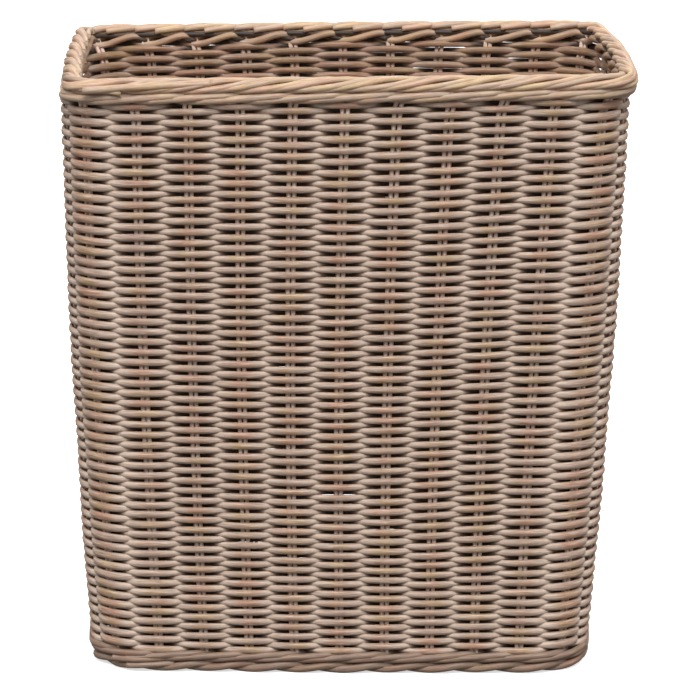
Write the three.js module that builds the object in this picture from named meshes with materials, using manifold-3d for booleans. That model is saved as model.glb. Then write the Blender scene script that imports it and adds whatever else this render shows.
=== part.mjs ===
// A rectangular wastebasket woven from round rattan core.
//
// Millimetres, +Z up, +X to the right and +Y to the back. The origin is on the ground, under the
// middle of the basket. The wall leans outwards all the way up. Its skeleton is a ring of upright
// stakes, two thin rods side by side in each place. From the ground up, five woven rings hold the
// stakes: a rolled foot border, an upsett wale, the siding, a top wale and a rolled top border.
// The base is a woven panel on lengthwise sticks, inside the lowest rings.

import * as THREE from "three";
import { mergeVertices } from "three/addons/utils/BufferGeometryUtils.js";
import Module from "manifold-3d";

// Driving dimensions.
const HEIGHT = 357;
const FOOT_WIDTH = 291; // outside of the wall, at the ground
const FOOT_DEPTH = 190;
const FLARE = 17.5; // how far each side has moved out at the top of the wall
const BORDER_OVERHANG = 2; // how far the rolled top border stands out from the wall
const WALL_THICKNESS = 10;
const CORNER_RADIUS = 35; // at the middle of the wall's thickness
const GAP = 0.3; // left between pieces that touch on the real basket

// Heights of the woven rings, from the ground up.
const FOOT_BORDER_TOP = 6;
const UPSETT_WALE_TOP = 15;
const TOP_WALE_BOTTOM = 341.5;
const TOP_BORDER_BOTTOM = 347.5;
const ROLL_ROUNDING = 2.5; // the rolled borders' rounded edges

// Stakes.
const STAKE_DIAMETER = 2.8;
const STAKE_SPACING = 2.7; // between the two rods of one pair
const STAKE_BOTTOM = 3;
const STAKE_TOP = 352;
const FRONT_STAKES = 9; // pairs between two corners, on the front and on the back
const SIDE_STAKES = 6; // pairs between two corners, on each side

// Base.
const BASE_BOTTOM = 4;
const BASE_TOP = 13;
const BASE_STICK_DIAMETER = 5;
const BASE_STICKS = 7;
const BASE_STICK_SPACING = 23;

const ARC_STEPS = 8; // straight steps in a quarter turn of a corner
const ROD_STEPS = 12; // straight steps round a base stick
const STAKE_STEPS = 6; // straight steps round the outer side of a stake rod

const RATTAN = { color: "#b49b82", roughness: 0.72, metalness: 0 };
const STAKE_RATTAN = { color: "#a08870", roughness: 0.78, metalness: 0 };
const BORDER_RATTAN = { color: "#c0a285", roughness: 0.68, metalness: 0 };

const wasm = await Module();
wasm.setup();

// Solids. A geometry becomes a manifold for cutting, and turns back into a geometry after it.

function solidOf(geometry) {
  const bare = geometry.clone();
  bare.deleteAttribute("normal");
  bare.deleteAttribute("uv");
  const merged = mergeVertices(bare, 1e-3);
  return new wasm.Manifold(
    new wasm.Mesh({
      numProp: 3,
      vertProperties: merged.attributes.position.array,
      triVerts: new Uint32Array(merged.index.array),
    }),
  );
}

function geometryOf(solid) {
  const mesh = solid.getMesh();
  const geometry = new THREE.BufferGeometry();
  geometry.setAttribute("position", new THREE.BufferAttribute(mesh.vertProperties, 3));
  geometry.setIndex(new THREE.BufferAttribute(mesh.triVerts, 1));
  geometry.computeVertexNormals();
  return geometry;
}

function cut(geometry, cutters) {
  const cutSolid = cutters.reduce(
    (solid, cutter) => solid.subtract(solidOf(cutter)),
    solidOf(geometry),
  );
  return geometryOf(cutSolid);
}

// Plan outlines.

function roundedRectangle(outline, width, depth, radius) {
  const x = width / 2 - radius;
  const y = depth / 2 - radius;
  outline.absarc(x, -y, radius, -Math.PI / 2, 0, false);
  outline.absarc(x, y, radius, 0, Math.PI / 2, false);
  outline.absarc(-x, y, radius, Math.PI / 2, Math.PI, false);
  outline.absarc(-x, -y, radius, Math.PI, Math.PI * 1.5, false);
  return outline;
}

// The wall's ring in plan, at the ground, with its outside face moved outwards by "outer" and its
// inside face moved inwards by "inner".
function ringShape(outer, inner) {
  const outside = roundedRectangle(
    new THREE.Shape(),
    FOOT_WIDTH + 2 * outer,
    FOOT_DEPTH + 2 * outer,
    CORNER_RADIUS + WALL_THICKNESS / 2 + outer,
  );
  const inside = roundedRectangle(
    new THREE.Path(),
    FOOT_WIDTH - 2 * (WALL_THICKNESS + inner),
    FOOT_DEPTH - 2 * (WALL_THICKNESS + inner),
    CORNER_RADIUS - WALL_THICKNESS / 2 - inner,
  );
  outside.holes.push(inside);
  return outside;
}

function flareAt(z) {
  return (FLARE * z) / HEIGHT;
}

// Moves every point outwards by the wall's lean at its height.
function flared(geometry) {
  const position = geometry.attributes.position;
  for (let i = 0; i < position.count; i += 1) {
    const out = flareAt(position.getZ(i));
    position.setX(i, position.getX(i) + Math.sign(position.getX(i)) * out);
    position.setY(i, position.getY(i) + Math.sign(position.getY(i)) * out);
  }
  return geometry;
}

function wallRing(bottom, top) {
  const geometry = new THREE.ExtrudeGeometry(ringShape(0, 0), {
    depth: top - bottom,
    bevelEnabled: false,
    curveSegments: ARC_STEPS,
  });
  return flared(geometry.translate(0, 0, bottom));
}

// A ring whose four long edges are rounded, as a rolled border is.
function rolledRing(bottom, top, overhang) {
  const core = ringShape(overhang - ROLL_ROUNDING, -ROLL_ROUNDING);
  const geometry = new THREE.ExtrudeGeometry(core, {
    depth: top - bottom - 2 * ROLL_ROUNDING,
    bevelThickness: ROLL_ROUNDING,
    bevelSize: ROLL_ROUNDING,
    bevelSegments: 2,
    curveSegments: ARC_STEPS,
  });
  return flared(geometry.translate(0, 0, bottom + ROLL_ROUNDING));
}

// Stakes.

// The plan of the stakes at one height: where each pair stands and which way the wall runs there.
function stakePlaces(z) {
  const halfX = FOOT_WIDTH / 2 - WALL_THICKNESS / 2 + flareAt(z);
  const halfY = FOOT_DEPTH / 2 - WALL_THICKNESS / 2 + flareAt(z);
  const toCorner = (CORNER_RADIUS * Math.PI) / 4; // along the arc, from its start to the corner pair
  const places = [];

  // One side of the basket, "across" wide and "out" from the middle, seen from outside. A corner
  // pair stands at its right end.
  function addSide(name, cornerName, across, out, count, turn) {
    const flat = across - CORNER_RADIUS;
    const step = (2 * (flat + toCorner)) / (count + 1);
    for (let k = 1; k <= count + 1; k += 1) {
      const along = k * step - flat - toCorner;
      const angle = Math.max(0, Math.abs(along) - flat) / CORNER_RADIUS;
      const reach = Math.min(Math.abs(along), flat) + CORNER_RADIUS * Math.sin(angle);
      const x = Math.sign(along) * reach;
      const y = -out + CORNER_RADIUS * (1 - Math.cos(angle));
      const point = new THREE.Vector2(x, y).rotateAround(new THREE.Vector2(), turn);
      const heading = turn + Math.sign(along) * angle;
      places.push({ name: k > count ? cornerName : `${name}_${k}`, point, heading });
    }
  }

  addSide("stakes_front", "stakes_corner_front_right", halfX, halfY, FRONT_STAKES, 0);
  addSide("stakes_right", "stakes_corner_back_right", halfY, halfX, SIDE_STAKES, Math.PI / 2);
  addSide("stakes_back", "stakes_corner_back_left", halfX, halfY, FRONT_STAKES, Math.PI);
  addSide("stakes_left", "stakes_corner_front_left", halfY, halfX, SIDE_STAKES, -Math.PI / 2);
  return places;
}

// Two round rods side by side, as one outline.
function pairShape() {
  const radius = STAKE_DIAMETER / 2;
  const aside = STAKE_SPACING / 2;
  const meet = Math.acos(-aside / radius);
  const shape = new THREE.Shape();
  shape.absarc(aside, 0, radius, -meet, meet, false);
  shape.absarc(-aside, 0, radius, Math.PI - meet, Math.PI + meet, false);
  return shape;
}

// The slot that such a pair stands in.
function channelShape() {
  const halfWidth = (STAKE_SPACING + STAKE_DIAMETER) / 2 + GAP;
  const halfDepth = STAKE_DIAMETER / 2 + GAP;
  const shape = new THREE.Shape();
  shape.moveTo(-halfWidth, -halfDepth);
  shape.lineTo(halfWidth, -halfDepth);
  shape.lineTo(halfWidth, halfDepth);
  shape.lineTo(-halfWidth, halfDepth);
  return shape;
}

// A straight length of one outline from a stake's foot to its head, with "extra" at both ends.
function upright(outline, foot, head, extra) {
  const start = new THREE.Vector3(foot.point.x, foot.point.y, STAKE_BOTTOM - extra);
  const end = new THREE.Vector3(head.point.x, head.point.y, STAKE_TOP + extra);
  const up = end.clone().sub(start);
  const length = up.length();
  up.normalize();
  const along = new THREE.Vector3(Math.cos(foot.heading), Math.sin(foot.heading), 0);
  along.addScaledVector(up, -along.dot(up)).normalize();
  const inward = new THREE.Vector3().crossVectors(up, along);
  const placing = new THREE.Matrix4().makeBasis(along, inward, up).setPosition(start);
  const geometry = new THREE.ExtrudeGeometry(outline, {
    depth: length,
    bevelEnabled: false,
    curveSegments: STAKE_STEPS,
  });
  return geometry.applyMatrix4(placing);
}

const feet = stakePlaces(STAKE_BOTTOM);
const heads = stakePlaces(STAKE_TOP);
const channels = feet.map((foot, i) => upright(channelShape(), foot, heads[i], GAP));

// Base.

const baseWidth = FOOT_WIDTH + 2 * flareAt(BASE_BOTTOM) - 2 * (WALL_THICKNESS + GAP);
const baseDepth = FOOT_DEPTH + 2 * flareAt(BASE_BOTTOM) - 2 * (WALL_THICKNESS + GAP);
const baseMiddle = (BASE_BOTTOM + BASE_TOP) / 2;

function baseStick(k, extraRadius, extraLength) {
  const y = (k - (BASE_STICKS - 1) / 2) * BASE_STICK_SPACING;
  const shorter = k === 0 || k === BASE_STICKS - 1 ? CORNER_RADIUS : 0; // clear of the round corners
  const length = baseWidth - 2 * GAP - shorter + extraLength;
  const radius = BASE_STICK_DIAMETER / 2 + extraRadius;
  const geometry = new THREE.CylinderGeometry(radius, radius, length, ROD_STEPS);
  return geometry.rotateZ(Math.PI / 2).translate(0, y, baseMiddle);
}

function basePanel() {
  const outline = roundedRectangle(
    new THREE.Shape(),
    baseWidth,
    baseDepth,
    CORNER_RADIUS - WALL_THICKNESS / 2,
  );
  const geometry = new THREE.ExtrudeGeometry(outline, {
    depth: BASE_TOP - BASE_BOTTOM,
    bevelEnabled: false,
    curveSegments: ARC_STEPS,
  });
  return geometry.translate(0, 0, BASE_BOTTOM);
}

// The basket.

const group = new THREE.Group();

function addPiece(name, geometry, finish) {
  const mesh = new THREE.Mesh(geometry, new THREE.MeshStandardMaterial(finish));
  mesh.name = name;
  group.add(mesh);
}

addPiece("foot_border", cut(rolledRing(0, FOOT_BORDER_TOP, 0), channels), BORDER_RATTAN);
addPiece(
  "upsett_wale",
  cut(wallRing(FOOT_BORDER_TOP + GAP, UPSETT_WALE_TOP), channels),
  BORDER_RATTAN,
);
addPiece(
  "siding_weave",
  cut(wallRing(UPSETT_WALE_TOP + GAP, TOP_WALE_BOTTOM), channels),
  RATTAN,
);
addPiece(
  "top_wale",
  cut(wallRing(TOP_WALE_BOTTOM + GAP, TOP_BORDER_BOTTOM), channels),
  BORDER_RATTAN,
);
addPiece(
  "top_border",
  cut(rolledRing(TOP_BORDER_BOTTOM + GAP, HEIGHT, BORDER_OVERHANG), channels),
  BORDER_RATTAN,
);

feet.forEach((foot, i) => {
  addPiece(foot.name, upright(pairShape(), foot, heads[i], 0), STAKE_RATTAN);
});

const sticks = Array.from({ length: BASE_STICKS }, (_, k) => k);
const stickTunnels = sticks.map((k) => baseStick(k, GAP, 2 * CORNER_RADIUS));
addPiece("base_weave", cut(basePanel(), stickTunnels), RATTAN);
sticks.forEach((k) => addPiece(`base_stick_${k + 1}`, baseStick(k, 0, 0), STAKE_RATTAN));

export default group;
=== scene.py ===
# The looks of a rectangular wastebasket woven from round rattan core.
#
# Sizes are in millimetres up to the last step, and one unit of MM turns them into metres. A place
# on the wall is given by three numbers: "u" counts the stake pairs round the basket, from 0 at the
# front left corner and 10 at the front right corner back to 34, "z" is the height, and "out" is the
# distance outwards from the middle of the wall. Every rod is a path of such places, and a mesh tube
# is drawn along it.

import math

import bpy
import numpy as np
from mathutils import Matrix, Vector


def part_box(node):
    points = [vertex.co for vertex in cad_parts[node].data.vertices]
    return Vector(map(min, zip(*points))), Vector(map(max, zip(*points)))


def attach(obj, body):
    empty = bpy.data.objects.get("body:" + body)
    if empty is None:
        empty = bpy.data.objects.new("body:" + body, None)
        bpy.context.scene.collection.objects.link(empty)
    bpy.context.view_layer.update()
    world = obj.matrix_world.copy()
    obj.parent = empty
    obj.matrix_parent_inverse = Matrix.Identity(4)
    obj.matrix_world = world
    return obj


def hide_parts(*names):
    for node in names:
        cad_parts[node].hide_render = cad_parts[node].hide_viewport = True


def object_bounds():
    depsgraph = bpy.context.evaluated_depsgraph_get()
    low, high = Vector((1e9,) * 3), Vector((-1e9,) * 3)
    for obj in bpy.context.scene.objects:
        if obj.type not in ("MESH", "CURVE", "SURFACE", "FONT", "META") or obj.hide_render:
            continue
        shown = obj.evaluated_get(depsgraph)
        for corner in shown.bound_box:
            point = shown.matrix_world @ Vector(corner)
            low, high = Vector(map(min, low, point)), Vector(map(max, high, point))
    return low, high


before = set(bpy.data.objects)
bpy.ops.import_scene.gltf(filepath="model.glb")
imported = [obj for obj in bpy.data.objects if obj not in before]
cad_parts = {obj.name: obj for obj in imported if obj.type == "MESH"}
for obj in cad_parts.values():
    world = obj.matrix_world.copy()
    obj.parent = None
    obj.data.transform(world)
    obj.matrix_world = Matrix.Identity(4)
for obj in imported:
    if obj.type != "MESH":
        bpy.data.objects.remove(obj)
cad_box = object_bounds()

MM = 0.001
random = np.random.default_rng(20)

# Rods.
WEAVER_RADIUS = 1.45  # from its middle outwards: the stakes press the weavers flat
WEAVER_HEIGHT = 2.05  # from its middle upwards
STAKE_RADIUS = 1.3
STAKE_ASIDE = 1.45  # from the middle of a pair to the middle of each of its rods
STAKE_FOOT = 3.5
STAKE_TOP = 350

# Wall.
WALL_THICKNESS = 10.0
BULGE = 2.6  # how far the wall stands out at half height
DRIFT = -0.08  # stake spacings by which the stakes lean to the left at half height
FULLER = np.array([1.8, 1.2])  # how much wider and deeper the woven wall is than its CAD rings
ROLLED = np.array([-1.5, 1.5])  # the same once more for the rolled top border
ROLLED_ASIDE = 0.7  # how far the rolled top border sits to the right
ROLLED_SKEW = 0.02  # how much further it does so per millimetre towards the front
TILT = math.radians(1.05)  # the border rises this much to the right, and the rows below it less
SPACINGS = (10, 7, 10, 7)  # between the stakes of the front, right, back and left side
BACK_RISE = 1.9  # how much closer to the border the rows of the back come
CLIMB_PLACES = (0, 5, 6.5, 8.5, 10, 34)  # round the basket, the rows at half height lie higher
CLIMBS = (1.4, 0.2, 0.7, 3.1, 3.6, 1.4)  # by so much at those places
DROOPS = (-0.1, 0.0)  # at foot and top, how much lower a rod lies per millimetre it stands out
DROOP_BEHIND = 0.22  # how much more that is at the top of the back
DROOP_HEIGHTS = (260, 300)  # it sets in between these
BOWS = (1.9, 3.6, 1.9, 2.0)  # how far the middle of each side stands out, in plan
CORNER_SHARES = (0.41, 0.59)  # of a corner's curve, woven with the long side and with the short one
GROUPS = sum(SPACINGS)
FRONT_MIDDLE = SPACINGS[0] / 2
GROUP_WIDTH = 28.0  # about the distance from one stake pair to the next
EDGE_HEIGHT = 20.0  # the unevenness of the weave fades out this close to foot and top
CORNER_HEIGHTS = (0, 12, 335, 343, 350)
CORNER_RADII = (32, 30, 30, 23, 15)  # in plan, at those heights

# Siding.
COURSES = 107
FIRST_COURSE = 340.4  # height of the uppermost one
LAST_COURSE = 13.4
COURSE_LOOSENING = 0.054  # how much wider the course spacing gets towards the top
CORNER_PACKING = 0.18  # how much fuller the weavers look where they bend round a corner
CROWN = WEAVER_RADIUS + STAKE_RADIUS  # how far a weaver stands out in front of a stake
POINTS_PER_GROUP = 8
WALE_POINTS_PER_GROUP = 9
WALE_SHADE = 0.7  # how strongly the painted shade darkens the hidden faces of a wale or the foot border, next to the siding's
CROSSING_DENSITY = 0.08  # how far, in groups, the points are drawn to where the rods turn
COURSES_PER_BAND = 6

# Cut ends.
DOME_HEIGHT = 0.25
DOME_RING = 0.8  # radius of the ring between rim and tip, as a share of the rod's
DOME_RING_HEIGHT = 0.7  # and its height, as a share of the tip's


def node_extent(node):
    """A ring's greatest half width and half depth and its top, in millimetres."""
    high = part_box(node)[1] / MM
    return np.array([high.x, high.y]), high.z


LOW_EXTENT, LOW_HEIGHT = node_extent("upsett_wale")
HIGH_EXTENT, HIGH_HEIGHT = node_extent("siding_weave")
TOP = cad_box[1][2] / MM


# The wall.


def middle_extent(z):
    """Half width and half depth of the basket at height z, to the middle of the wall."""
    share = (np.asarray(z, float) - LOW_HEIGHT) / (HIGH_HEIGHT - LOW_HEIGHT)
    outside = LOW_EXTENT + share[..., None] * (HIGH_EXTENT - LOW_EXTENT)
    return outside - WALL_THICKNESS / 2 + FULLER + rolled_share(z)[..., None] * ROLLED


def rolled_share(z):
    """0 in the woven wall, 1 in the rolled border."""
    return np.clip((z - HIGH_HEIGHT) / (TOP - HIGH_HEIGHT) * 2, 0, 1)


def wall_places(u, z, out):
    """Points of the wall and the wall's outward direction there."""
    u, z, out = (np.asarray(a, float) for a in np.broadcast_arrays(u, z, out))
    height = np.clip(z / TOP, 0, 1)
    belly = 4 * height * (1 - height)
    u = np.mod(u + DRIFT * belly, GROUPS)
    extent = middle_extent(z)
    radius = np.interp(z, CORNER_HEIGHTS, CORNER_RADII)
    point = np.zeros(u.shape + (3,))
    outward = np.zeros(u.shape + (3,))
    start = 0
    for side, count in enumerate(SPACINGS):
        facing = side * math.pi / 2
        on = (u >= start) & (u < start + count)
        across, deep = extent[..., side % 2], extent[..., 1 - side % 2]
        flat = across - radius
        to_corner = radius * math.pi / 2 * CORNER_SHARES[side % 2]
        share = 2 * (u - start) / count - 1
        along = share * (flat + to_corner)
        angle = np.maximum(0, np.abs(along) - flat) / radius
        sign = np.sign(along)
        x = sign * (np.minimum(np.abs(along), flat) + radius * np.sin(angle))
        y = radius * (1 - np.cos(angle)) - deep
        heading = facing + sign * angle
        normal = np.stack([np.sin(heading), -np.cos(heading), np.zeros_like(u)], -1)
        moved = out + BOWS[side] * (1 - share**2) ** 2 + BULGE * belly
        turned_x = x * math.cos(facing) - y * math.sin(facing)
        turned_y = x * math.sin(facing) + y * math.cos(facing)
        place = np.stack([turned_x, turned_y, z], -1) + normal * moved[..., None]
        point[on] = place[on]
        outward[on] = normal[on]
        start += count
    point[..., 0] += (ROLLED_ASIDE - ROLLED_SKEW * point[..., 1]) * rolled_share(z)
    point[..., 2] += point[..., 0] * math.tan(TILT) * height
    return point, outward


WAVES = 9  # in a field


def wave_field(size, seed):
    """A smooth random function of the place on the wall, about "size" millimetres either way."""
    draw = np.random.default_rng(seed)
    waves = [
        (draw.integers(1, 9), draw.uniform(0.5, 4), draw.uniform(0, math.tau), draw.uniform(0.4, 1))
        for _ in range(WAVES)
    ]

    def field(u, z):
        total = sum(
            strength * np.sin(math.tau * (turns * u / GROUPS + rises * z / TOP) + phase)
            for turns, rises, phase, strength in waves
        )
        return size * total / math.sqrt(WAVES)

    return field


sag = wave_field(0.55, 1)
swell = wave_field(0.35, 2)


def loose_places(u, z, out):
    """Points of the wall as above, with the small unevenness of hand weaving."""
    height = z / TOP
    edge = np.clip(np.minimum(z, TOP - z) / EDGE_HEIGHT, 0, 1)
    from_front = math.tau * (np.asarray(u) - FRONT_MIDDLE) / GROUPS
    behind = np.clip(-np.cos(from_front) * 1.5, 0, 1)
    droop = np.interp(z, (0, TOP), DROOPS)
    droop = droop + DROOP_BEHIND * behind * np.interp(z, DROOP_HEIGHTS, (0, 1))
    climb = np.interp(np.mod(u, GROUPS), CLIMB_PLACES, CLIMBS) * 4 * height * (1 - height)
    lifted = z + BACK_RISE * behind * height + climb + sag(u, z) * edge - droop * out
    return wall_places(u, lifted, out + swell(u, z) * edge)


# Rods.


class Rod:
    """The centre line of one rod, with the wall's outward direction and the rod's section.

    "radius" is from the middle outwards, and "tall" is how many times that it is upwards. "crown" is
    1 where the rod lies in front of a stake pair and -1 where it lies behind one.
    """

    def __init__(self, places, radius, closed=False, crown=None, tall=1.0):
        self.points, self.outward = places
        self.radius = np.broadcast_to(np.asarray(radius, float), len(self.points))
        self.tall = np.broadcast_to(np.asarray(tall, float), len(self.points))
        self.closed = closed
        self.crown = np.zeros(len(self.points)) if crown is None else crown
        self.tone = random.uniform(0, 1)
        self.grain = random.uniform(-500, 500, 3)


def rod_frames(rod):
    """Two directions square to the rod at every point: the more outward one, then the more upright."""
    points = rod.points
    if rod.closed:
        tangent = np.roll(points, -1, 0) - np.roll(points, 1, 0)
    else:
        tangent = np.gradient(points, axis=0)
    tangent /= np.linalg.norm(tangent, axis=1, keepdims=True)
    outer = rod.outward - tangent * np.sum(rod.outward * tangent, 1, keepdims=True)
    outer /= np.linalg.norm(outer, axis=1, keepdims=True)
    return outer, np.cross(tangent, outer)


def section(sides):
    """The angles of a rod's vertices round its middle, from the outward one on."""
    return math.tau * np.arange(sides) / sides


def rod_mesh(rod, sides):
    """A rod's vertices, its faces, and for every corner of a face its place along and across the grain."""
    outer, upper = rod_frames(rod)
    count = len(rod.points)
    turn = section(sides)
    across = np.cos(turn)[None, :, None] * outer[:, None] * rod.radius[:, None, None]
    upright = np.sin(turn)[None, :, None] * upper[:, None] * (rod.radius * rod.tall)[:, None, None]
    vertices = (rod.points[:, None] + across + upright).reshape(-1, 3)

    loops = count if rod.closed else count - 1
    ring = np.arange(loops)[:, None]
    side = np.arange(sides)[None, :]
    here, there = ring * sides, ((ring + 1) % count) * sides
    after = (side + 1) % sides
    faces = np.stack([here + side, there + side, there + after, here + after], -1).reshape(-1, 4)

    step = np.linalg.norm(np.diff(rod.points, axis=0, append=rod.points[:1]), axis=1)
    length = np.concatenate([[0], np.cumsum(step)])
    mean_radius = float(rod.radius.mean())
    y, z = mean_radius * np.cos(turn), mean_radius * np.sin(turn)

    def corner(ring_offset, side_index):
        along = np.broadcast_to(length[ring + ring_offset], (loops, sides))
        index = np.broadcast_to(side_index, (loops, sides))
        return np.stack([along, y[index], z[index]], -1)

    corners = np.stack([corner(0, side), corner(1, side), corner(1, after), corner(0, after)], 2)
    return vertices, faces, corners.reshape(-1, 4, 3)


def cut_end(rod, ring, rim, new, last):
    """The slightly domed cut face at the first or last end of an open rod.

    "ring" holds the end's own vertices and "rim" their numbers. The new ones count from "new".
    """
    sides = len(rim)
    onward = rod.points[-1] - rod.points[-2] if last else rod.points[0] - rod.points[1]
    centre = ring.mean(0)
    tip = centre + onward / np.linalg.norm(onward) * DOME_HEIGHT
    inner = centre + (ring - centre) * DOME_RING + (tip - centre) * DOME_RING_HEIGHT
    turn = section(sides)
    grain = float(rod.radius.mean()) * np.stack([0 * turn, np.cos(turn), np.sin(turn)], -1)
    direction = 1 if last else -1
    faces, corners = [], []
    for k in range(sides):
        n = (k + 1) % sides
        quad = [rim[k], rim[n], new + n, new + k]
        quad_corners = [grain[k], grain[n], grain[n] * DOME_RING, grain[k] * DOME_RING]
        fan = [new + k, new + n, new + sides]
        fan_corners = [grain[k] * DOME_RING, grain[n] * DOME_RING, grain[k] * 0]
        faces += [quad[::direction], fan[::direction]]
        corners += [np.array(quad_corners[::direction]), np.array(fan_corners[::direction])]
    return np.concatenate([inner, tip[None]]), faces, corners


def build(name, rods, sides, material, slot, *replaced):
    """One piece made of many rods.

    Its attributes are "grain", a place along and across the rod's fibres; "crown", as a rod has it;
    "hidden", 1 on faces turned to the middle of the wall, where the material paints shade; "outside", 1 on
    faces turned outwards; "tone", a shade of the whole rod; and "cut", 1 on cut ends.
    """
    vertices, quads, quad_corners, ends, end_corners = [], [], [], [], []
    values_of = {label: [] for label in ("crown", "hidden", "outside", "tone", "cut")}
    facing = np.cos(section(sides))
    count = 0

    def add_vertices(points, rod, crown, hidden, outside, cut):
        nonlocal count
        vertices.append(points)
        count += len(points)
        values = (crown, hidden, outside, rod.tone, cut)
        for label, value in zip(values_of, values):
            values_of[label].append(np.broadcast_to(value, len(points)))

    for rod in rods:
        first = count
        points, rod_quads, corners = rod_mesh(rod, sides)
        quads.append(rod_quads + first)
        quad_corners.append(corners + rod.grain)
        crown = np.repeat(rod.crown, sides)
        hidden = np.outer(-rod.crown, facing).ravel()
        add_vertices(points, rod, crown, hidden, np.tile(facing, len(rod.points)), 0)
        if rod.closed:
            continue
        for last in (False, True):
            start = len(points) - sides if last else 0
            rim = first + start + np.arange(sides)
            cap = cut_end(rod, points[start : start + sides], rim, count, last)
            add_vertices(cap[0], rod, rod.crown[-1 if last else 0], 0, 0, 1)
            ends += cap[1]
            end_corners += [corner + rod.grain for corner in cap[2]]

    faces = np.concatenate(quads).tolist() + [list(map(int, face)) for face in ends]
    mesh = bpy.data.meshes.new(name)
    mesh.from_pydata((np.concatenate(vertices) * MM).tolist(), [], faces)
    corners = np.concatenate([np.concatenate(quad_corners).reshape(-1, 3), *end_corners])
    grain = mesh.attributes.new("grain", "FLOAT_VECTOR", "CORNER")
    grain.data.foreach_set("vector", corners.astype(np.float32).ravel())
    for label, values in values_of.items():
        attribute = mesh.attributes.new(label, "FLOAT", "POINT")
        attribute.data.foreach_set("value", np.concatenate(values).astype(np.float32))
    mesh.shade_smooth()
    mesh.materials.append(material)
    piece = bpy.data.objects.new(name, mesh)
    bpy.context.scene.collection.objects.link(piece)
    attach(piece, "root")
    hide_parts(*replaced)


def smooth_path(knots, step):
    """A cubic Hermite curve through knots of (u, z, out), with points "step" groups apart."""
    knots = np.array(knots, float)
    gaps = np.linalg.norm(np.diff(knots * (GROUP_WIDTH, 1, 1), axis=0), axis=1)
    at = np.concatenate([[0], np.cumsum(gaps)])
    slopes = np.gradient(knots, at, axis=0)
    count = max(3, int(at[-1] / GROUP_WIDTH / step) + 1)
    t = np.linspace(0, at[-1], count)
    k = np.clip(np.searchsorted(at, t, side="right") - 1, 0, len(gaps) - 1)
    width = gaps[k][:, None]
    s = ((t - at[k]) / gaps[k])[:, None]
    a, b = knots[k], knots[k + 1]
    ma, mb = slopes[k] * width, slopes[k + 1] * width
    return (
        (2 * s**3 - 3 * s**2 + 1) * a
        + (s**3 - 2 * s**2 + s) * ma
        + (3 * s**2 - 2 * s**3) * b
        + (s**3 - s**2) * mb
    )


def periodic_noise(u, size, per_group=1.0):
    """Smooth random values along a rod, with "per_group" new ones in every group of stakes.

    After the last value comes the first again, so that they fit a closed ring.
    """
    span = round(u[-1] - u[0])
    knots = round(span * per_group)
    values = random.normal(0, size, knots)
    place = (u - u[0]) * knots / span
    k = np.floor(place).astype(int)
    s = place - k
    s = s * s * (3 - 2 * s)
    return values[k % knots] * (1 - s) + values[(k + 1) % knots] * s


# Materials.


def linear(red, green, blue):
    """A colour given as display values from 0 to 255."""

    def channel(value):
        value /= 255
        return value / 12.92 if value <= 0.04045 else ((value + 0.055) / 1.055) ** 2.4

    return (channel(red), channel(green), channel(blue), 1)


class Nodes:
    """Short calls for making and linking shader nodes, in a material or in the world."""

    def __init__(self, owner):
        owner.use_nodes = True
        self.tree = owner.node_tree
        self.tree.nodes.clear()

    def add(self, kind, **settings):
        node = self.tree.nodes.new(kind)
        for key, value in settings.items():
            setattr(node, key, value)
        return node

    def put(self, socket, value):
        if isinstance(value, bpy.types.NodeSocket):
            self.tree.links.new(value, socket)
        else:
            socket.default_value = value

    def attribute(self, name, output):
        return self.add("ShaderNodeAttribute", attribute_name=name).outputs[output]

    def math(self, operation, *values, clamp=False):
        node = self.add("ShaderNodeMath", operation=operation, use_clamp=clamp)
        for socket, value in zip(node.inputs, values):
            self.put(socket, value)
        return node.outputs[0]

    def vector(self, operation, a, b):
        node = self.add("ShaderNodeVectorMath", operation=operation)
        self.put(node.inputs[0], a)
        self.put(node.inputs[1], b)
        return node.outputs[0]

    def noise(self, vector, scale, detail=2.0, rough=0.5):
        node = self.add("ShaderNodeTexNoise")
        self.put(node.inputs["Vector"], vector)
        node.inputs["Scale"].default_value = scale
        node.inputs["Detail"].default_value = detail
        node.inputs["Roughness"].default_value = rough
        return node.outputs["Fac"]

    def ramp(self, factor, low, high, clamp=True):
        """factor, from 0 at "low" to 1 at "high"."""
        node = self.add("ShaderNodeMapRange", clamp=clamp)
        self.put(node.inputs["Value"], factor)
        node.inputs["From Min"].default_value = low
        node.inputs["From Max"].default_value = high
        return node.outputs["Result"]

    def mix(self, factor, a, b, blend="MIX"):
        node = self.add("ShaderNodeMix", data_type="RGBA", blend_type=blend)
        self.put(node.inputs["Factor"], factor)
        self.put(node.inputs["A"], a)
        self.put(node.inputs["B"], b)
        return node.outputs["Result"]


# Painted shade colours: a deep brown for faces turned to the middle of the wall, and a darker, browner tint
# for a rod's stretch behind a stake.
PAINTED_GAP_SHADE = linear(28, 14, 7)
PAINTED_BEHIND_SHADE = linear(215, 200, 180)


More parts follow.
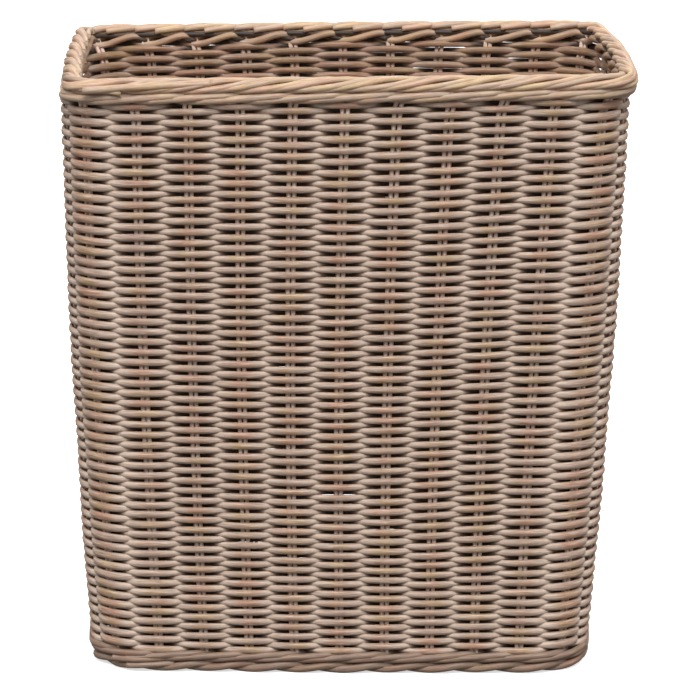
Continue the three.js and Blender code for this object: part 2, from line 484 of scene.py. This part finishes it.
def rattan(name, warm, yellow, grey, pale, dark, tip_highlight_amount):
    """Round rattan core with a thin grey coat.

    Fibres run along the rod. Patches of warmer wood show where the grey coat is thin. The last argument is
    how much painted highlight makes the rod paler and greyer on its outer side where it dips behind another.
    Where a rod lies behind a stake it is painted darker and browner, and its faces turned to the middle of
    the
    wall are painted deep brown: both are painted shade for the gaps and the basket's inside.
    """
    material = bpy.data.materials.new(name)
    n = Nodes(material)
    grain = n.attribute("grain", "Vector")
    crown = n.attribute("crown", "Fac")
    tone = n.attribute("tone", "Fac")
    cut = n.attribute("cut", "Fac")

    patches = n.noise(n.vector("MULTIPLY", grain, (0.05, 0.10, 0.10)), 1.0, 2.0)
    hues = n.noise(n.vector("MULTIPLY", grain, (0.03, 0.06, 0.06)), 1.0, 1.0)
    streaks = n.noise(n.vector("MULTIPLY", grain, (0.09, 1.9, 1.9)), 1.0, 3.0, 0.6)
    fibres = n.noise(n.vector("MULTIPLY", grain, (0.12, 4.5, 4.5)), 1.0, 2.0, 0.6)

    wood = n.mix(n.ramp(hues, 0.42, 0.6), warm, yellow)
    # Painted highlight: the outer side of a rod turns paler and greyer where it dips behind another, near the
    # crossings.
    dips = n.math("MULTIPLY", n.ramp(crown, 0.9, 0.1), n.ramp(crown, -0.6, -0.1))
    outer_dips = n.math("MULTIPLY", dips, n.ramp(n.attribute("outside", "Fac"), -0.2, 0.3))
    tip_highlight = n.math("MULTIPLY", outer_dips, tip_highlight_amount)
    grey_coat_and_tip_highlight = n.math("ADD", patches, n.math("MULTIPLY", n.math("SUBTRACT", tone, 0.5), 0.2))
    grey_coat_and_tip_highlight = n.math("ADD", grey_coat_and_tip_highlight, tip_highlight)
    body = n.mix(n.ramp(grey_coat_and_tip_highlight, 0.40, 0.66), wood, grey)
    body = n.mix(n.math("MULTIPLY", tip_highlight, 1.6), body, pale)
    body = n.mix(n.math("MULTIPLY", n.ramp(streaks, 0.5, 0.72), 0.7), body, pale)
    body = n.mix(n.math("MULTIPLY", n.ramp(streaks, 0.46, 0.26), 0.55), body, dark)
    body = n.mix(n.math("MULTIPLY", n.ramp(fibres, 0.52, 0.32), 0.4), body, dark)
    body = n.mix(n.math("MULTIPLY", cut, 0.75), body, pale)
    # Painted shade: where a rod lies behind a stake it is tinted darker and browner, for the shade in the
    # gaps and inside the basket.
    inside = n.math("MULTIPLY", n.ramp(crown, -0.1, -0.7), 0.8)
    body = n.mix(inside, body, n.mix(1.0, body, PAINTED_BEHIND_SHADE, "MULTIPLY"))
    # Painted shade: faces turned to the middle of the wall are painted deep brown, for the shade in the gaps.
    shade = n.math("MULTIPLY", n.ramp(n.attribute("hidden", "Fac"), 0.18, 0.62), 0.94)
    body = n.mix(shade, body, PAINTED_GAP_SHADE)

    shader = n.add("ShaderNodeBsdfPrincipled")
    n.put(shader.inputs["Base Color"], body)
    rough = n.math("ADD", 0.4, n.math("MULTIPLY", streaks, 0.28))
    n.put(shader.inputs["Roughness"], rough)
    shader.inputs["Specular IOR Level"].default_value = 0.5
    bump = n.add("ShaderNodeBump")
    bump.inputs["Strength"].default_value = 0.35
    bump.inputs["Distance"].default_value = 0.25 * MM
    n.put(bump.inputs["Height"], n.math("ADD", streaks, n.math("MULTIPLY", fibres, 0.5)))
    n.put(shader.inputs["Normal"], bump.outputs["Normal"])
    output = n.add("ShaderNodeOutputMaterial")
    n.put(output.inputs["Surface"], shader.outputs["BSDF"])
    return material


weave_rattan = rattan(
    "grey_washed_weaver",
    warm=linear(172, 131, 109),
    yellow=linear(172, 143, 110),
    grey=linear(168, 142, 126),
    pale=linear(222, 202, 185),
    dark=linear(100, 76, 60),
    tip_highlight_amount=0.42,
)
border_rattan = rattan(
    "washed_border_rod",
    warm=linear(202, 162, 136),
    yellow=linear(206, 176, 136),
    grey=linear(186, 160, 140),
    pale=linear(228, 206, 182),
    dark=linear(120, 90, 66),
    tip_highlight_amount=0.0,
)
# Painted shade: this palette is darker than the weavers' and stands in for the shade at the foot.
foot_rattan = rattan(
    "foot_rod_painted_shade",
    warm=linear(142, 107, 88),
    yellow=linear(144, 117, 90),
    grey=linear(136, 112, 97),
    pale=linear(180, 155, 136),
    dark=linear(80, 57, 44),
    tip_highlight_amount=0.15,
)
stake_rattan = rattan(
    "stake_rod",
    warm=linear(236, 198, 178),
    yellow=linear(230, 202, 178),
    grey=linear(226, 206, 194),
    pale=linear(244, 230, 220),
    dark=linear(150, 120, 104),
    tip_highlight_amount=0.05,
)


# The woven pieces.


def course_height(j):
    """Height of a course, counted from the top. The weaving is a little tighter at the foot."""
    t = 1 - j / (COURSES - 1)
    share = t * (1 + COURSE_LOOSENING * t) / (1 + COURSE_LOOSENING)
    return LAST_COURSE + (FIRST_COURSE - LAST_COURSE) * share


def nearness_to_corner(u):
    """1 at a corner of the basket, falling to 0 over about one stake spacing."""
    corners = np.concatenate([[0], np.cumsum(SPACINGS)])
    distance = np.min(np.abs(np.mod(u, GROUPS)[:, None] - corners), axis=1)
    return np.exp(-((distance / 0.8) ** 2))


def course(j):
    """One ring of the siding, in front of every second stake pair and behind the others.

    It runs flat past the stakes and turns in or out quickly half way between them.
    """
    start = GROUPS / 2 + random.integers(0, GROUPS // 4) * 2 + (j % 2)
    u = start + np.arange(GROUPS * POINTS_PER_GROUP) / POINTS_PER_GROUP
    u = u + CROSSING_DENSITY * np.sin(math.tau * u)
    phase = math.pi * (u + j + 1)
    reach = 1.12 * np.cos(phase) - 0.12 * np.cos(3 * phase)
    z = course_height(j) + periodic_noise(u, 0.16)
    out = CROWN * reach + periodic_noise(u, 0.12)
    radius = WEAVER_RADIUS * (1 + periodic_noise(u, 0.025, 0.3) + random.normal(0, 0.02))
    height = WEAVER_HEIGHT / WEAVER_RADIUS * (1 - 0.2 * (1 - np.abs(np.cos(phase))) ** 2)
    height = height * (1 + CORNER_PACKING * nearness_to_corner(u))
    return Rod(loose_places(u, z, out), radius, closed=True, crown=np.cos(phase), tall=height)


def make_siding():
    for band, first in enumerate(range(0, COURSES, COURSES_PER_BAND)):
        rods = [course(j) for j in range(first, min(first + COURSES_PER_BAND, COURSES))]
        name = f"siding_band_{band + 1:02d}"
        build(name, rods, 8, weave_rattan, "rattan_weave", "siding_weave")


def stake_rods(k):
    """Two upright rods side by side, from inside the foot border to inside the top border."""
    rods = []
    z = np.linspace(STAKE_FOOT, STAKE_TOP, 60)
    for aside in (-1, 1):
        u = k + aside * (STAKE_ASIDE + random.normal(0, 0.12)) / GROUP_WIDTH
        places = loose_places(np.full_like(z, u), z, np.zeros_like(z))
        rods.append(Rod(places, STAKE_RADIUS * (1 + random.normal(0, 0.04))))
    return rods


def stake_node_names(side, count, corner):
    return [f"stakes_{side}_{k + 1}" for k in range(count - 1)] + [f"stakes_corner_{corner}"]


def make_stakes():
    start = 0
    corners = ("front_right", "back_right", "back_left", "front_left")
    for count, side, corner in zip(SPACINGS, ("front", "right", "back", "left"), corners):
        rods = [rod for k in range(1, count + 1) for rod in stake_rods(start + k)]
        nodes = stake_node_names(side, count, corner)
        build(f"stakes_{side}", rods, 8, stake_rattan, "rattan_stakes", *nodes)
        start += count


def wale_ring(period, start, rounds, height, rise, reach, radius, out_bias=0.0):
    """A closed strand that passes in front of period - 1 stake pairs and behind one.

    "height" is its middle's, "rise" how far it climbs from there, and "reach" how far it stands out.
    """
    u = start + np.arange(GROUPS * rounds * WALE_POINTS_PER_GROUP) / WALE_POINTS_PER_GROUP
    phase = math.tau * (u - start) / period
    if period == 2:
        out = reach * np.cos(phase)
        z = height + rise * np.sin(phase)
    else:
        # Behind the stake at phase pi. The long front stretch climbs, and the short back one drops.
        around = (phase % math.tau) / math.tau  # 0 at the middle of the front stretch
        swing = np.where(around > 0.5, around - 1, around)
        front_half = 0.5 - 0.5 / period
        front = np.cos(math.pi * np.clip(np.abs(swing) / front_half * 0.5, 0, 1))
        out = reach * np.clip(front * 2.2, -1, 1)
        climb = np.clip(swing / (0.5 - 0.28 / period), -1, 1)
        back = np.clip((np.abs(swing) - front_half) / (0.5 / period), 0, 1)
        z = height + rise * climb * np.cos(back * math.pi / 2)
    out = out + out_bias + periodic_noise(u, 0.12)
    z = z + periodic_noise(u, 0.12)
    thickness = radius * (1 + periodic_noise(u, 0.03, 0.4))
    # The crown, damped by WALE_SHADE, sets the painted shade on the strand's hidden faces.
    return Rod(loose_places(u, z, out), thickness, closed=True, crown=WALE_SHADE * out / reach)


def make_top_wale():
    rod = wale_ring(period=3, start=0, rounds=3, height=345.4, rise=2.8, reach=CROWN + 1.1, radius=2.15)
    build("top_wale_rods", [rod], 10, border_rattan, "rattan_border", "top_wale")


def make_upsett_wale():
    rod = wale_ring(period=3, start=0, rounds=3, height=9.6, rise=2.5, reach=CROWN + 0.4, radius=2.0)
    build("upsett_wale_rods", [rod], 10, foot_rattan, "rattan_border", "upsett_wale")


def make_foot_border():
    rods = [
        wale_ring(period=2, start=start, rounds=1, height=3.8, rise=1.4, reach=2.2, radius=2.35, out_bias=0.6)
        for start in (0.45, 1.45)
    ]
    rods.append(threaded_end((0.02, 7.2, 5.4), (0.5, 7.6, 4.4), (1.2, 8.6, 2.0)))
    rods.append(threaded_end((0.3, 3.6, 5.2), (0.7, 4.4, 4.4), (1.3, 5.2, 2.4)))
    build("foot_border_rods", rods, 10, foot_rattan, "rattan_border", "foot_border")


# The rolled top border: every stake pair turns to the right, passes behind the next pair, comes
# out below the roll and winds once over it, to a cut end inside.

ROLL_HEIGHT = 352.3
ROLL_OUT = 0.4
ROLL_HALF_WIDTH = 4.2
ROLL_HALF_HEIGHT = 2.6
ROLL_SLOPE = 0.7  # how much lower the roll's outer side sits than its middle
ROLL_GROUPS = 1.9  # how far round the basket a rod gets in half a turn over the roll
BORDER_RADIUS = 1.75
BORDER_STEP = 0.08  # between the points of a border rod's path, in groups
CROWN_HUMP = 0.8  # how much a rod rises where it rides over the one before
HUMP_ANGLE = 75  # where on the roll that is, in degrees above its outer side


def border_rod(k, second):
    """One of the two rods of stake pair k. The second one follows a little behind and ends later."""
    lag = 0.3 * second
    turn = np.radians(np.linspace(-100, 178 if second else 150, 15))
    share = (turn - turn[0]) / math.pi
    shrink = np.where(turn > math.pi / 2, 1 - 0.12 * (1 - second) * (turn - math.pi / 2), 1)
    u = k + 1.5 + lag + ROLL_GROUPS * share
    out = ROLL_OUT + ROLL_HALF_WIDTH * np.cos(turn) * shrink
    z = ROLL_HEIGHT + ROLL_HALF_HEIGHT * np.sin(turn) * shrink - ROLL_SLOPE * np.cos(turn)
    z += CROWN_HUMP * np.clip(np.cos(2 * (turn - math.radians(HUMP_ANGLE))), 0, 1)
    start = [
        (k + (second - 0.5) * 0.1, 346.5, 0.0),
        (k + 0.4, 349.6, -1.0),
        (k + 0.9 + lag / 2, 350.6, -1.6),
    ]
    knots = start + list(zip(u, z, out))
    path = smooth_path(knots, BORDER_STEP)
    jitter = periodic_noise(np.linspace(0, 6, len(path)), 0.12)
    places = wall_places(path[:, 0], path[:, 1] + jitter, path[:, 2] + jitter)
    # Crown 1 on the rod's first stretch, behind the next pair and under the roll, makes the material paint
    # shade on its faces turned inwards.
    under_the_roll = np.clip(2 - (path[:, 0] - k), 0, 1)
    return Rod(places, BORDER_RADIUS * (1 + random.normal(0, 0.04)), crown=under_the_roll)


def threaded_end(*knots, radius=BORDER_RADIUS):
    """One of the last rods of a border: its cut end shows, and the rest is tucked under the others."""
    path = smooth_path(knots, BORDER_STEP)
    return Rod(wall_places(path[:, 0], path[:, 1], path[:, 2]), radius)


def make_top_border():
    rods = [border_rod(k, second) for k in range(GROUPS) for second in (0, 1)]
    tucked = (0.6, 352.3, 6.8), (1.3, 353.2, 5.5), (2.4, 354.2, 3.2)
    rods.append(threaded_end((0.14, 351.3, 9.0), (0.26, 351.6, 8.0), *tucked, radius=2.1))
    rods.append(threaded_end((0.72, 349.4, 7.0), (0.45, 350.4, 6.0), (0.0, 351.2, 4.2), radius=1.4))
    build("top_border_rods", rods, 10, border_rattan, "rattan_border", "top_border")


BASE_REACH = Vector((3.0, 3.0, 0.0))  # how much further the rods reach than the CAD panel
BASE_CORNER = 27.0
BASE_WEAVER_RADIUS = 1.7
BASE_WEAVER_SPACING = 3.5
UPWARD = np.array([0.0, 0.0, 1.0])


def base_rod(points, radius, crown=None):
    """A rod that lies in the base, whose outer side is its upper one."""
    return Rod((points, np.tile(UPWARD, (len(points), 1))), radius, crown=crown)


def make_base():
    """The woven base: rods across the basket over and under seven lengthwise sticks."""
    low, high = (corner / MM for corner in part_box("base_weave"))
    middle = (low.z + high.z) / 2
    stick_nodes = [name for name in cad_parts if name.startswith("base_stick")]
    sticks = []
    lines = []
    for name in sorted(stick_nodes):
        first, last = (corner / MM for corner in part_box(name))
        y, stick_radius = (first.y + last.y) / 2, (last.z - first.z) / 2
        lines.append(y)
        x = np.linspace(first.x, last.x, 24)
        points = np.stack([x, y + 0.3 * np.sin(x / 30 + y), np.full_like(x, middle)], -1)
        sticks.append(base_rod(points, stick_radius))
    build("base_sticks", sticks, 10, stake_rattan, "rattan_base", *stick_nodes)

    spacing = lines[1] - lines[0]
    swing = 0.95 * (BASE_WEAVER_RADIUS + stick_radius)
    low, high = low - BASE_REACH, high + BASE_REACH
    count = int((high.x - low.x) / BASE_WEAVER_SPACING)
    rods = []
    for i in range(count):
        x = low.x + 2 + (high.x - low.x - 4) * i / (count - 1)
        corner = max(0.0, abs(x) - (high.x - BASE_CORNER)) / BASE_CORNER
        reach = high.y - BASE_CORNER * (1 - math.sqrt(max(0.0, 1 - corner**2)))
        y = np.linspace(-reach, reach, 57)
        phase = math.pi * (y / spacing + i)
        points = np.stack([x + 0.2 * np.sin(y / 9 + i), y, middle + swing * np.cos(phase)], -1)
        rods.append(base_rod(points, BASE_WEAVER_RADIUS, crown=np.cos(phase)))
    build("base_panel", rods, 8, weave_rattan, "rattan_base", "base_weave")


# The camera, the floor and the light.


CAMERA_PLACE = Vector((-31.4, -2400, 706.2))
CAMERA_LENS = 209.86
CAMERA_YAW, CAMERA_PITCH, CAMERA_ROLL = 0.881, 12.507, 0.642  # degrees right, down and round


def make_camera():
    data = bpy.data.cameras.new("camera")
    data.sensor_width = 36.0
    data.lens = CAMERA_LENS
    camera = bpy.data.objects.new("camera", data)
    bpy.context.scene.collection.objects.link(camera)
    yaw, pitch, roll = (math.radians(angle) for angle in (CAMERA_YAW, CAMERA_PITCH, CAMERA_ROLL))
    turned = (
        Matrix.Rotation(-yaw, 4, "Z")
        @ Matrix.Rotation(math.pi / 2 - pitch, 4, "X")
        @ Matrix.Rotation(roll, 4, "Z")
    )
    camera.matrix_world = Matrix.Translation(CAMERA_PLACE * MM) @ turned
    bpy.context.scene.camera = camera


def lit_paper(name, color, glow):
    """White paper lit from below as on a light table, so that it stays white behind the basket."""
    material = bpy.data.materials.new(name)
    n = Nodes(material)
    shader = n.add("ShaderNodeBsdfPrincipled")
    shader.inputs["Base Color"].default_value = color
    shader.inputs["Roughness"].default_value = 0.9
    shader.inputs["Emission Color"].default_value = (1, 1, 1, 1)
    shader.inputs["Emission Strength"].default_value = glow
    output = n.add("ShaderNodeOutputMaterial")
    n.put(output.inputs["Surface"], shader.outputs["BSDF"])
    return material


def make_floor():
    mesh = bpy.data.meshes.new("floor")
    reach = 12.0
    mesh.from_pydata(
        [(-reach, -reach, 0), (reach, -reach, 0), (reach, reach, 0), (-reach, reach, 0)],
        [],
        [(0, 1, 2, 3)],
    )
    mesh.materials.append(lit_paper("floor_paper", color=(0.8, 0.8, 0.8, 1), glow=0.62))
    floor = bpy.data.objects.new("floor", mesh)
    floor.visible_diffuse = False
    floor.visible_glossy = False
    bpy.context.scene.collection.objects.link(floor)


def sun(name, elevation, azimuth, strength, softness):
    """A broad lamp far away. Azimuth 0 shines from the front, and softness is how wide it looks."""
    data = bpy.data.lights.new(name, "SUN")
    data.energy = strength
    data.angle = math.radians(softness)
    light = bpy.data.objects.new(name, data)
    bpy.context.scene.collection.objects.link(light)
    light.rotation_euler = (math.radians(90 - elevation), 0, math.radians(azimuth))


def make_lights():
    world = bpy.data.worlds.new("studio")
    bpy.context.scene.world = world
    n = Nodes(world)
    height = n.add("ShaderNodeSeparateXYZ")
    n.put(height.inputs["Vector"], n.add("ShaderNodeTexCoord").outputs["Generated"])
    upward = n.ramp(height.outputs["Z"], -0.25, 0.6)
    light = n.mix(upward, (0.2, 0.19, 0.18, 1), (0.5, 0.5, 0.5, 1))
    seen = n.add("ShaderNodeLightPath").outputs["Is Camera Ray"]
    background = n.add("ShaderNodeBackground")
    n.put(background.inputs["Color"], n.mix(seen, light, (1, 1, 1, 1)))
    output = n.add("ShaderNodeOutputWorld")
    n.put(output.inputs["Surface"], background.outputs["Background"])
    sun("key_from_the_front", elevation=47, azimuth=0, strength=2.56, softness=30)
    for side, azimuth in (("left", -80), ("right", 80), ("back", 180)):
        sun(f"fill_from_the_{side}", elevation=38, azimuth=azimuth, strength=0.8, softness=40)
    bpy.context.scene.view_settings.view_transform = "Standard"


make_camera()
make_siding()
make_stakes()
make_top_wale()
make_upsett_wale()
make_foot_border()
make_top_border()
make_base()
make_floor()
make_lights()
